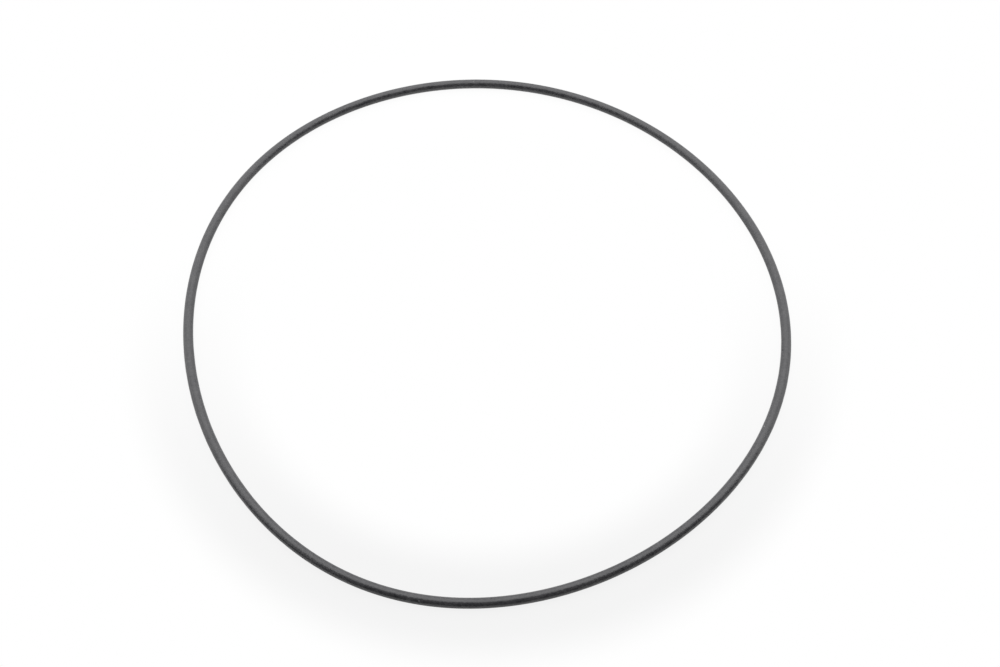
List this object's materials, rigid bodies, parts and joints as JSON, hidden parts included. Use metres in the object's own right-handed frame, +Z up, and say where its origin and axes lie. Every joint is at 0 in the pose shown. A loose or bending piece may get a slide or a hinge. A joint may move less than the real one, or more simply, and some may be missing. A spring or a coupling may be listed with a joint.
{
  "type": "rubber o-ring",
  "caption": "Thin moulded rubber o-ring of round section, lying flat and relaxed, for sealing a groove between a bore and a shaft or between two flat faces.",
  "frame": {"origin": "centre of the ring's outline, on the surface it lies on", "axes": "+Z up, square to the plane of the ring; +X and +Y lie in that plane, with +X to the picture's right and +Y away from its camera"},
  "size_m": [0.124, 0.1242, 0.002],
  "materials": {
    "rubber": "matte to satin black moulded nitrile rubber"
  },
  "bodies": {
    "root": {"o_ring": "rubber"}
  },
  "joints": []
}
